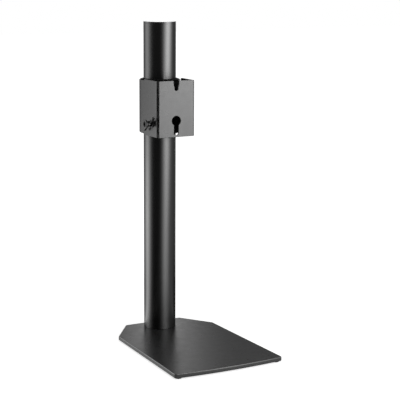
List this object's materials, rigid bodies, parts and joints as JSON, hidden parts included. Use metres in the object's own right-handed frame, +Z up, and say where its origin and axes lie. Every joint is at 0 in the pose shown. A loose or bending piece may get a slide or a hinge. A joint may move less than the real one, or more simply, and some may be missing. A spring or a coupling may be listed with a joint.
{
  "type": "speaker stand",
  "caption": "Desktop speaker stand: flat base plate, round column close to its back edge, and a clamping bracket sleeve that slides and turns on the column, held by a wing screw.",
  "frame": {"origin": "on the floor, under the middle of the outline's box, which runs from the bowed front edge of the plate to the back of the bracket sleeve", "axes": "+Z up along the column, -Y towards the front, where the plate is widest, +X to the right seen from the front"},
  "size_m": [0.1778, 0.264, 0.491],
  "materials": {
    "base_paint": "smooth satin black paint",
    "column_paint": "gloss black paint",
    "cap_plastic": "smooth black plastic",
    "bracket_paint": "satin dark grey powder coat",
    "foot_rubber": "matt black rubber",
    "bush_plastic": "black plastic",
    "grip_plastic": "glossy black moulded plastic",
    "bare_steel": "turned steel",
    "black_steel": "blackened steel"
  },
  "bodies": {
    "stand": {"base_plate": "base_paint", "column_tube": "column_paint", "column_plug": "bare_steel", "column_screw_1": "black_steel", "column_screw_2": "black_steel", "column_screw_3": "black_steel", "top_cap": "cap_plastic", "foot_front_left": "foot_rubber", "foot_front_right": "foot_rubber", "foot_back_left": "foot_rubber", "foot_back_right": "foot_rubber"},
    "bushes": {"upper_bush": "bush_plastic", "lower_bush": "bush_plastic"},
    "bracket": {"bracket_front": "bracket_paint", "bracket_sleeve": "bracket_paint", "clamp_lug": "bracket_paint", "lug_nut": "bare_steel"},
    "washer": {"screw_washer": "black_steel"},
    "wing_screw": {"screw_shank": "bare_steel", "wing_grip": "grip_plastic"}
  },
  "joints": [
    {"name": "bracket_slide", "type": "slide", "parent": "stand", "child": "bushes", "axis": [0, 0, 1], "range_m": [-0.308, 0.083]},
    {"name": "bracket_swivel", "type": "hinge", "parent": "bushes", "child": "bracket", "pos_m": [0, 0.1005, 0.36165], "axis": [0, 0, 1], "continuous": true},
    {"name": "washer_travel", "type": "slide", "parent": "bracket", "child": "washer", "axis": [-1, 0, 0], "range_m": [0, 0.002]},
    {"name": "screw_turn", "type": "hinge", "parent": "washer", "child": "wing_screw", "pos_m": [-0.0315, 0.0635, 0.339], "axis": [-1, 0, 0], "range_deg": [0, 720]}
  ],
  "couplings": [
    {"joint": "washer_travel", "follows": "screw_turn", "m_per_rad": 0.00015915}
  ]
}
